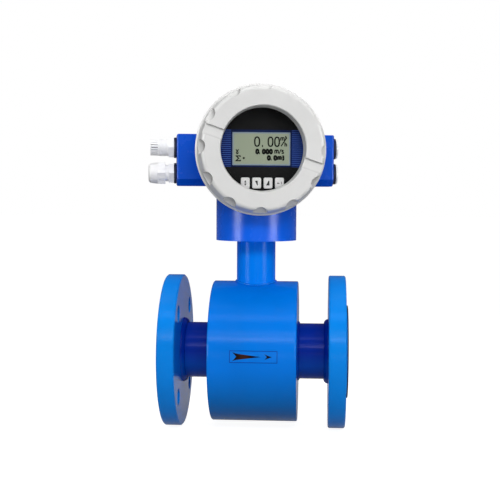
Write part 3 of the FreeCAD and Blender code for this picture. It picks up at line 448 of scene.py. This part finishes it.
# the screen with its border, and the printed fields round it
display = {
    "wide": 60.0, "high": 34.0, "up": 0.8, "screenAhead": 52.16,
    "border": 1.5, "borderAhead": 52.19, "overlap": 0.2,    # it reaches that far past the screen
    "fieldAhead": 52.44, "fieldLow": -17.9, "fieldHigh": 20.3, "fieldRadius": 45.5, "gap": 0.1,
    "stripeFrom": 31.6, "pitch": 2.09, "phase": 3.14, "thick": 0.03,
}


def flatField(left, right, low, high, columns=24, rows=24):
    # x runs from left to right in even steps on each row; either may be a number or a function of z
    z = np.linspace(low, high, rows)[:, None]
    start, stop = (side(z) if callable(side) else side + 0 * z for side in (left, right))
    x = start + (stop - start) * np.linspace(0, 1, columns)[None, :]
    return np.stack([x, np.broadcast_to(z, x.shape)], -1).reshape(-1, 2), gridQuads(rows, columns)


def flatBox(left, right, low, high):
    # four corners, one quad
    return flatField(left, right, low, high, 2, 2)


def fieldReach(z):
    # half width of the round panel at height z: the root of radius squared less z squared
    return np.sqrt(display["fieldRadius"] ** 2 - z ** 2)


# screen: grey green cells with faint lines between them, a little darker in patches
screenFinish = Finish("screenFinish", (178, 189, 165), 0.3, coat=0.05, ior=1.3)
cells = screenFinish.node("ShaderNodeTexBrick", [("Vector", screenFinish.mapped(turn=upright))],
                          offset=0.0, Scale=1600.0, Mortar_Size=0.04, Brick_Width=1.0,
                          Row_Height=1.0, Color1=linear(178, 189, 165),
                          Color2=linear(176, 187, 163), Mortar=linear(169, 180, 156))
patches = screenFinish.level(screenFinish.noise(28, 2), 0.0, 0.35, 0.3, 0.7)
blend = screenFinish.node("ShaderNodeMix", [(0, patches), (6, cells.outputs["Color"])],
                          data_type="RGBA")
blend.inputs[7].default_value = linear(162, 174, 149)
screenFinish.paint(blend.outputs[2])

borderFinish = moulded("borderFinish", (150, 170, 188), 0.35)

# stripes: one wave is 2 * pi / 20 over the texture's scale, so the scale gives the pitch
stripeFinish = Finish("stripeFinish", (34, 62, 158), 0.42, ior=1.15)
waves = stripeFinish.node("ShaderNodeTexWave", [("Vector", stripeFinish.place)],
                          wave_type="BANDS", bands_direction="Z", wave_profile="SIN",
                          Scale=2 * math.pi / (20 * display["pitch"] * mm),
                          Phase_Offset=display["phase"])
stripeFinish.paint(stripeFinish.ramp(waves.outputs["Fac"], (0.4, linear(2, 26, 90)),
                                     (0.8, linear(62, 94, 178))))

bandFinish = moulded("bandFinish", (16, 34, 80), 0.5, 1.15)
bandFinish.paint(bandFinish.ramp(bandFinish.noise(40, 2), (0.3, linear(12, 28, 70)),
                                 (0.7, linear(22, 42, 92))))

halfWide, halfHigh = display["wide"] / 2, display["high"] / 2
screenLow, screenHigh = display["up"] - halfHigh, display["up"] + halfHigh
sheetInHead("lcdScreen", [flatBox(-halfWide, halfWide, screenLow, screenHigh)],
            display["screenAhead"], display["thick"], screenFinish, "head")

# the border's middle line, by its four corners
inwards = display["border"] / 2 - display["overlap"]
rim = np.array([(-1, -1), (1, -1), (1, 1), (-1, 1)]) * (halfWide - inwards, halfHigh - inwards)
sheetInHead("lcdBorder", [ribbon(rim + (0, display["up"]), display["border"], True)],
            display["borderAhead"], display["thick"], borderFinish, "head")

fieldLow, fieldHigh, fromX = display["fieldLow"], display["fieldHigh"], display["stripeFrom"]
sheetInHead("stripeFields", [flatField(lambda z: -fieldReach(z), -fromX, fieldLow, fieldHigh),
                             flatField(fromX, fieldReach, fieldLow, fieldHigh)],
            display["fieldAhead"], display["thick"], stripeFinish, "head")
# the bands fill the rest round the screen: above, below, left and right of it
gap = display["gap"]
sheetInHead("bandFields", [flatBox(-fromX, fromX, screenHigh + gap, fieldHigh),
                           flatBox(-fromX, fromX, fieldLow, screenLow - gap),
                           flatBox(-fromX, -halfWide - gap, screenLow - gap, screenHigh + gap),
                           flatBox(halfWide + gap, fromX, screenLow - gap, screenHigh + gap)],
            display["fieldAhead"], display["thick"], bandFinish, "head")
print("display fields laid")

# signs on the keys, about each key's middle: corners of what is filled, and drawn lines
legends = {
    "ahead": 53.22, "thick": 0.02, "pitch": 11.83, "shift": 1.1, "down": 34.5, "line": 0.5,
    "signs": {
        "key_menu": {"solid": [[(-1.25, 0.5), (0.0, 0.9), (1.25, 0.5), (0.0, 2.9)],
                               [(-1.25, -0.5), (0.0, -0.9), (1.25, -0.5), (0.0, -2.9)]],
                     "lines": [[(0.0, -1.2), (0.0, 1.2)]]},
        "key_down": {"solid": [[(-1.9, 2.4), (0.9, 2.4), (1.3, -2.4), (0.5, -2.4)]], "lines": []},
        "key_up": {"solid": [[(0.4, 2.4), (1.3, 2.4), (1.4, -2.4), (-2.1, -2.4)]], "lines": []},
        "key_enter": {"solid": [[(-2.7, -0.1), (-1.2, 0.85), (-1.2, -0.1), (-1.2, -1.05)]],
                      "lines": [[(-1.4, -0.1), (0.3, -0.1)],
                                [(1.3, 1.5), (2.0, 1.3), (2.0, -0.6), (1.3, -0.9)]]},
    },
}
for index, (name, sign) in enumerate(legends["signs"].items()):
    middle = np.array((legends["shift"] + (index - 1.5) * legends["pitch"], -legends["down"]))
    marks = [(np.array(corners) + middle, np.array([[0, 1, 2, 3]])) for corners in sign["solid"]]
    marks += [ribbon(np.array(line) + middle, legends["line"]) for line in sign["lines"]]
    # each mark is turned to face the reader, whichever way round its corners are given
    marks = [(points, turnedOut(np.pad(points, ((0, 0), (0, 1))), quads, (0, 0, 1)))
             for points, quads in marks]
    sheetInHead(name + "_legend", marks, legends["ahead"], legends["thick"], keyInk, name)
print("keys lettered")


# flow arrow on the coil housing: x along the flow, heights up round the drum, in millimetres
arrow = {
    "radius": 76.0, "proud": 0.06, "thick": 0.04, "middle": 4.75,
    "tail": -19.3, "tip": 10.4, "notch": 4.2, "halfTail": 4.5, "halfBody": 3.3, "flare": 0.12,
    "taper": 1.1, "headTail": 13.6, "headTip": 21.4, "headHalf": 2.9, "headNotch": 2.6,
    "headTaper": 1.2,
    # the frame: from x, to x, from height, to height
    "frame": (-22.1, 26.5, -1.2, 10.7), "line": 0.6, "frameProud": 0.05, "frameThick": 0.03,
    "frameSteps": 8,
}


def onDrum(x, height, proud):
    # wrapped round the drum: the angle is height / radius, from the front
    radius = arrow["radius"] + proud
    turned = np.asarray(height, float) / arrow["radius"]
    wrapped = np.broadcast_arrays(x, -radius * np.cos(turned), radius * np.sin(turned))
    return np.stack(wrapped, -1) * mm


def arrowField(tail, tip, notch, half, rows=13, columns=40):
    # rows of even share across: x from the notched tail to the tip, height = share * half(x)
    share = np.linspace(-1, 1, rows)[:, None]
    t = np.linspace(0, 1, columns)[None, :]
    x = tail + notch * (1 - abs(share)) + (tip - tail - notch * (1 - abs(share))) * t
    return x, arrow["middle"] + share * half(t)


def bodyHalf(t):
    # evenly from halfTail to halfBody over the flare, then halfBody * (1 - share run) ** taper
    halfTail, halfBody, flare = arrow["halfTail"], arrow["halfBody"], arrow["flare"]
    return np.where(t < flare, halfTail - (halfTail - halfBody) * t / flare,
                    halfBody * (1 - (t - flare) / (1 - flare)) ** arrow["taper"])


def headHalf(t):
    # headHalf * (1 - t) ** headTaper, so nothing at the tip
    return arrow["headHalf"] * (1 - t) ** arrow["headTaper"]


# black ink that goes over to brown along the body of the arrow
arrowInk = Finish("arrowInk", (22, 20, 22), 0.45, ior=1.15)
flowWay = arrowInk.node("ShaderNodeSeparateXYZ", [(0, arrowInk.place)]).outputs["X"]
arrowInk.paint(arrowInk.ramp(arrowInk.level(flowWay, 0, 1, -0.019, 0.011), (0.12, linear(8, 7, 10)),
                             (0.3, linear(58, 28, 18)), (0.48, linear(58, 28, 18)),
                             (0.66, linear(8, 8, 12))))
arrowInk.relief(arrowInk.noise(1500, 2), 0.00003, 0.3)
frameInk = moulded("frameInk", (0, 44, 150), 0.4, 1.15)

arrowFields = (arrowField(arrow["tail"], arrow["tip"], arrow["notch"], bodyHalf),
               arrowField(arrow["headTail"], arrow["headTip"], arrow["headNotch"], headHalf))
points, quads = joined([(onDrum(x, height, arrow["proud"]).reshape(-1, 3), gridQuads(*x.shape))
                        for x, height in arrowFields])
thicken(putPiece("flowArrow", points, quads, arrowInk.material, "sensor",
                 facing=(0, -1, 0)), arrow["thick"] * mm)

# the frame's line goes round its four corners in short steps, so that it follows the drum
left, right, foot, top = arrow["frame"]
corners = np.array([(left, foot), (right, foot), (right, top), (left, top)])
outline = np.concatenate([np.linspace(corner, after, arrow["frameSteps"], endpoint=False)
                          for corner, after in zip(corners, np.roll(corners, -1, 0))])
flat, quads = ribbon(outline, arrow["line"], True)
thicken(putPiece("flowFrame", onDrum(flat[:, 0], flat[:, 1], arrow["frameProud"]), quads,
                 frameInk.material, "sensor", facing=(0, -1, 0)),
        arrow["frameThick"] * mm)
print("flow arrow laid")


# weld beads: radii and places that they run along, in millimetres
welds = {
    "neckRadius": 21.0, "drumRadius": 76.0, "tubeRadius": 30.15, "drumEnd": 46.0,
    "flangeBack": 79.0, "seatLevel": 121.0,
    # each bead's own radius, how many ripples it has, and how far out of its corner it lies
    "neckFoot": (1.4, 46, 0.15), "neckHead": (1.5, 40, 0.0),
    "drum": (1.9, 60, 0.2), "flange": (4.55, 70, 0.0),
    # shares of the radius that a ripple and the slower wander add; points along and round a bead
    "ripple": 0.07, "wander": 0.03, "wanderPace": 3.3, "steps": 360, "sides": 14,
}


def bead(name, centres, outward, across, radius, ripples, finish):
    # a tube round a closed path, in the plane of outward and across, of
    # radius * (1 + ripple * |sin step| + wander * sin(wanderPace * step))
    sides, steps = welds["sides"], len(centres)
    turned = np.linspace(0, 2 * np.pi, sides, endpoint=False)[None, :, None]
    step = np.linspace(0, 2 * np.pi * ripples, steps, endpoint=False)
    size = radius * (1 + welds["ripple"] * abs(np.sin(step))
                     + welds["wander"] * np.sin(welds["wanderPace"] * step))
    ring = np.cos(turned) * outward[:, None] + np.sin(turned) * across[:, None]
    return putPiece(name, (centres[:, None] + size[:, None, None] * ring) * mm,
                    gridQuads(steps, sides, True, True), finish.material, "sensor")


def unit(v):
    # v over its own length
    return v / np.linalg.norm(v, axis=-1, keepdims=True)


full = np.linspace(0, 2 * np.pi, welds["steps"], endpoint=False)
radial = np.stack([np.cos(full), np.sin(full), 0 * full], 1)
saddle = radial * welds["neckRadius"]
# where the neck meets the drum: height = the root of the drum's radius squared less y squared
saddle[:, 2] = np.sqrt(welds["drumRadius"] ** 2 - saddle[:, 1] ** 2)
drumNormal = unit(saddle * (0, 1, 1))
radius, ripples, out = welds["neckFoot"]
bead("neckFootWeld", saddle + out * (radial + drumNormal), radial, drumNormal, radius, ripples,
     drumPaint)
radius, ripples, out = welds["neckHead"]
seatRing = radial * (welds["neckRadius"] + out) + (0, 0, welds["seatLevel"])
bead("neckHeadWeld", seatRing, radial, np.broadcast_to(-up, radial.shape), radius, ripples,
     neckPaint)
around = np.stack([0 * full, np.cos(full), np.sin(full)], 1)
for label, side in (("Inlet", -1), ("Outlet", 1)):
    endWay = np.broadcast_to(np.array((side, 0.0, 0.0)), around.shape)
    # the inner part of the flange's bead is buried in the corner between the tube and the flange
    for kind, place, slotName in (("drum", "drumEnd", "drum_paint"),
                                  ("flange", "flangeBack", "flange_paint")):
        radius, ripples, out = welds[kind]
        ring = around * welds["tubeRadius"] + endWay * welds[place] + out * (around + endWay)
        bead(kind + "Weld" + label, ring, around, endWay, radius, ripples, tubePaint)
print("welds run")


# thread of the open gland: in the head, back from its middle and up, from and to on its left
openGland = {"back": 26.0, "up": 5.0, "from": 95.4, "to": 105.6, "root": 8.85, "crest": 9.25,
             "pitch": 1.5, "wide": 0.9, "stepsPerTurn": 48, "fadeOver": 14, "fadeLeast": 0.02,
             # section of the ridge: place along the pitch, and height as a share of the crest's
             "section": [(-0.5, 0.0), (-0.12, 1.0), (0.12, 1.0), (0.5, 0.0), (0.2, -0.8),
                         (-0.2, -0.8)]}
profile = np.array(openGland["section"])
hexagonQuads = np.array([[0, 1, 2, 3], [0, 3, 4, 5]])    # six corners filled with two quads
threadTurns = (openGland["to"] - openGland["from"]) / openGland["pitch"]
t = np.linspace(0, 1, int(threadTurns * openGland["stepsPerTurn"]))[:, None]
fade = np.clip(np.minimum(t, 1 - t) * openGland["fadeOver"], openGland["fadeLeast"], 1)
wound = 2 * np.pi * threadTurns * t
# a ridge that winds round the barrel: radius = root + (crest - root) * profile, fading at both ends
radius = openGland["root"] + (openGland["crest"] - openGland["root"]) * profile[:, 1] * fade
reach = (openGland["from"] + (openGland["to"] - openGland["from"]) * t
         + profile[:, 0] * openGland["pitch"] * openGland["wide"])
ridge = inHead(-reach, -openGland["back"] + radius * np.cos(wound),
               openGland["up"] + radius * np.sin(wound))
lastRing = (len(t) - 1) * len(profile)
ridgeQuads = [gridQuads(len(t), len(profile), False, True), hexagonQuads,
              lastRing + hexagonQuads[:, ::-1]]
putPiece("glandThread", ridge, np.concatenate(ridgeQuads), whiteNylon.material, "head")

# painted shade for the sockets of the clamp screws: dark hexagons on the screws' heads, on three
# sides of the collar
screws = {"level": 125.0, "face": 41.25, "socket": 1.5, "proud": 0.03, "thick": 0.02,
          "sides": [(1, 0), (0, -1), (-1, 0)]}    # shares of aside and of ahead
sixth = np.linspace(0, 2 * np.pi, 6, endpoint=False)[:, None]
socketShadeSheets = []
for asideShare, aheadShare in screws["sides"]:
    outWay = asideShare * aside + aheadShare * ahead
    acrossWay = np.cross(up, outWay)
    faceMiddle = up * screws["level"] + outWay * (screws["face"] + screws["proud"])
    hexagon = (np.cos(sixth) * acrossWay + np.sin(sixth) * up) * screws["socket"]
    points = headMiddle * (1, 1, 0) + faceMiddle * mm + hexagon * mm
    socketShadeSheets.append((points, turnedOut(points, hexagonQuads, outWay)))
points, quads = joined(socketShadeSheets)
thicken(putPiece("clampSocketShade", points, quads, switchBlack.material, "head",
                 facing=-ahead, smooth=False), screws["thick"] * mm)
print("gland thread and screw sockets made")

# lips of the washers on the right, which lap round the heads of the blanking plugs
lips = {"back": 26.0, "ups": {"upper": 5.0, "lower": -23.0}, "from": 88.5, "to": 90.4,
        "inner": 11.0, "outer": 11.4, "edge": 0.2, "steps": 96}
turned = np.linspace(0, 2 * np.pi, lips["steps"], endpoint=False)[:, None]
# a short ring: reach and radius of its section, carried round the plug's axis
section = np.array([(lips["from"], lips["inner"]), (lips["from"], lips["outer"]),
                    (lips["to"] - lips["edge"], lips["outer"]),
                    (lips["to"], lips["outer"] - lips["edge"]), (lips["to"], lips["inner"])])
for label, height in lips["ups"].items():
    points = inHead(section[:, 0] + 0 * turned, -lips["back"] + section[:, 1] * np.cos(turned),
                    height + section[:, 1] * np.sin(turned))
    putPiece(label + "PlugLip", points, gridQuads(lips["steps"], len(section), True, True),
             navyRubber.material, "head", smooth=False)
print("plug washers lipped")


# floor, room and lamps
studio = {
    # edges of the floor in metres, and how far it lies under the object
    "floorLeft": -8, "floorRight": 8, "floorFront": -4, "floorBack": 12, "floorGap": 0.0002,
    # near the object: the grey that the lamps light, and the white that the floor gives of its own;
    # between these distances it goes over to all its own white
    "floorGrey": 0.3, "floorLift": 0.93, "fadeFrom": 0.25, "fadeTo": 1.2,
    # share of the white that paint reflects of the floor and of the room; the room's own light
    "floorShine": 0.3, "worldShine": 0.12, "worldLight": 0.45,
    # name, place, looks at, width, height, power, whether it lights and whether it shines back
    "lamps": [
        ("keyLamp", (0.3, -2.0, 1.35), (0, 0, 0.12), 1.7, 0.5, 26.6, True, False),
        ("fillLamp", (0.3, -1.8, 0.02), (0, 0, 0.2), 1.4, 0.2, 4.5, True, False),
        ("keyShine", (0.0, -0.95, 1.75), (0, 0, 0.0), 1.5, 0.4, 4.0, False, True),
        ("levelShine", (0.0, -2.0, 0.95), (0, 0, 0.0), 2.0, 0.1, 8.0, False, True),
        ("leftStrip", (-1.24, -1.02, 0.3), (0, 0, 0.15), 0.6, 1.4, 42.0, False, True),
        ("rightStrip", (1.28, -0.96, 0.3), (0, 0, 0.15), 0.6, 1.4, 42.0, False, True),
        ("topLamp", (0.0, 0.1, 1.6), (0, 0, 0.1), 1.4, 1.0, 11.0, True, False),
    ],
}
floorMesh = bpy.data.meshes.new("studioFloor")
floorLevel = cadBox[0].z - studio["floorGap"]
floorCorners = [(studio[x], studio[y], floorLevel) for x, y in (
    ("floorLeft", "floorFront"), ("floorRight", "floorFront"),
    ("floorRight", "floorBack"), ("floorLeft", "floorBack"))]
floorMesh.from_pydata(floorCorners, [], [(0, 1, 2, 3)])
floor = bpy.data.objects.new("studioFloor", floorMesh)
bpy.context.scene.collection.objects.link(floor)

floorFinish = Finish("floorFinish", (255, 255, 255), 0.9)
# away from the object the floor goes over from lit grey to its own plain white
distance = floorFinish.node("ShaderNodeVectorMath", [(0, floorFinish.place)], operation="LENGTH")
nearBy = floorFinish.level(distance.outputs["Value"], 1.0, 0.0, studio["fadeFrom"],
                           studio["fadeTo"])
floorFinish.paint(floorFinish.ramp(nearBy, (0.0, (0.02, 0.02, 0.02, 1)),
                                   (1.0, (studio["floorGrey"],) * 3 + (1,))))
floorRays = floorFinish.node("ShaderNodeLightPath").outputs
seen = floorFinish.node("ShaderNodeMath", [(0, floorRays["Is Camera Ray"]),
                                           (1, floorRays["Is Transmission Ray"])],
                        operation="MAXIMUM")
# what the camera sees is the floor's own white; what paint reflects of it is fainter
glow = floorFinish.node("ShaderNodeMath", [(0, floorRays["Is Glossy Ray"]), (2, seen.outputs[0])],
                        operation="MULTIPLY_ADD")
glow.inputs[1].default_value = studio["floorShine"]
liftShare = floorFinish.level(nearBy, 1.0, studio["floorLift"])
lift = floorFinish.node("ShaderNodeMath", [(0, glow.outputs[0]), (1, liftShare)],
                        operation="MULTIPLY")
floorFinish.shader.inputs["Emission Color"].default_value = (1, 1, 1, 1)
floorFinish.tree.links.new(lift.outputs[0], floorFinish.shader.inputs["Emission Strength"])
floorMesh.materials.append(floorFinish.material)

world = bpy.data.worlds.new("studio")
bpy.context.scene.world = world
world.use_nodes = True
sky = world.node_tree
background = sky.nodes["Background"]
background.inputs["Color"].default_value = (1, 1, 1, 1)
skyRays = sky.nodes.new("ShaderNodeLightPath").outputs
# strength: worldLight, but worldShine for a reflection and 1 for what goes straight to the camera
strength = None
for rayKind, value in (("Is Glossy Ray", studio["worldShine"]), ("Is Transmission Ray", 1.0),
                       ("Is Camera Ray", 1.0)):
    choice = sky.nodes.new("ShaderNodeMix")
    choice.inputs[2].default_value, choice.inputs[3].default_value = studio["worldLight"], value
    sky.links.new(skyRays[rayKind], choice.inputs[0])
    if strength:
        sky.links.new(strength, choice.inputs[2])
    strength = choice.outputs[0]
sky.links.new(strength, background.inputs["Strength"])

for name, place, target, wide, high, power, lights, shines in studio["lamps"]:
    lamp = bpy.data.lights.new(name, "AREA")
    lamp.shape, lamp.size, lamp.size_y, lamp.energy = "RECTANGLE", wide, high, power
    holder = bpy.data.objects.new(name, lamp)
    holder.location = place
    holder.rotation_euler = (Vector(target) - Vector(place)).to_track_quat("-Z", "Y").to_euler()
    holder.visible_camera, holder.visible_diffuse, holder.visible_glossy = False, lights, shines
    bpy.context.scene.collection.objects.link(holder)

# camera: place in metres, yaw to the right, pitch up and roll in radians, lens in millimetres
view = {"place": (0.0675, -1.0644, 0.1665), "yaw": -0.0697, "pitch": -0.0530, "roll": 0.0042,
        "focal": 70.5, "sensor": 36.0}
yaw, pitch, roll = view["yaw"], view["pitch"], view["roll"]
look = Vector((math.sin(yaw) * math.cos(pitch), math.cos(yaw) * math.cos(pitch), math.sin(pitch)))
levelRight = Vector((math.cos(yaw), -math.sin(yaw), 0.0))
levelUp = levelRight.cross(look)
cameraRight = levelRight * math.cos(roll) + levelUp * math.sin(roll)
cameraUp = levelUp * math.cos(roll) - levelRight * math.sin(roll)
lens = bpy.data.cameras.new("camera")
lens.lens, lens.sensor_width = view["focal"], view["sensor"]
camera = bpy.data.objects.new("camera", lens)
axes = Matrix((cameraRight, cameraUp, -look)).transposed().to_4x4()
camera.matrix_world = Matrix.Translation(view["place"]) @ axes
bpy.context.scene.collection.objects.link(camera)
bpy.context.scene.camera = camera
bpy.context.scene.view_settings.view_transform = "Standard"
print("studio set")
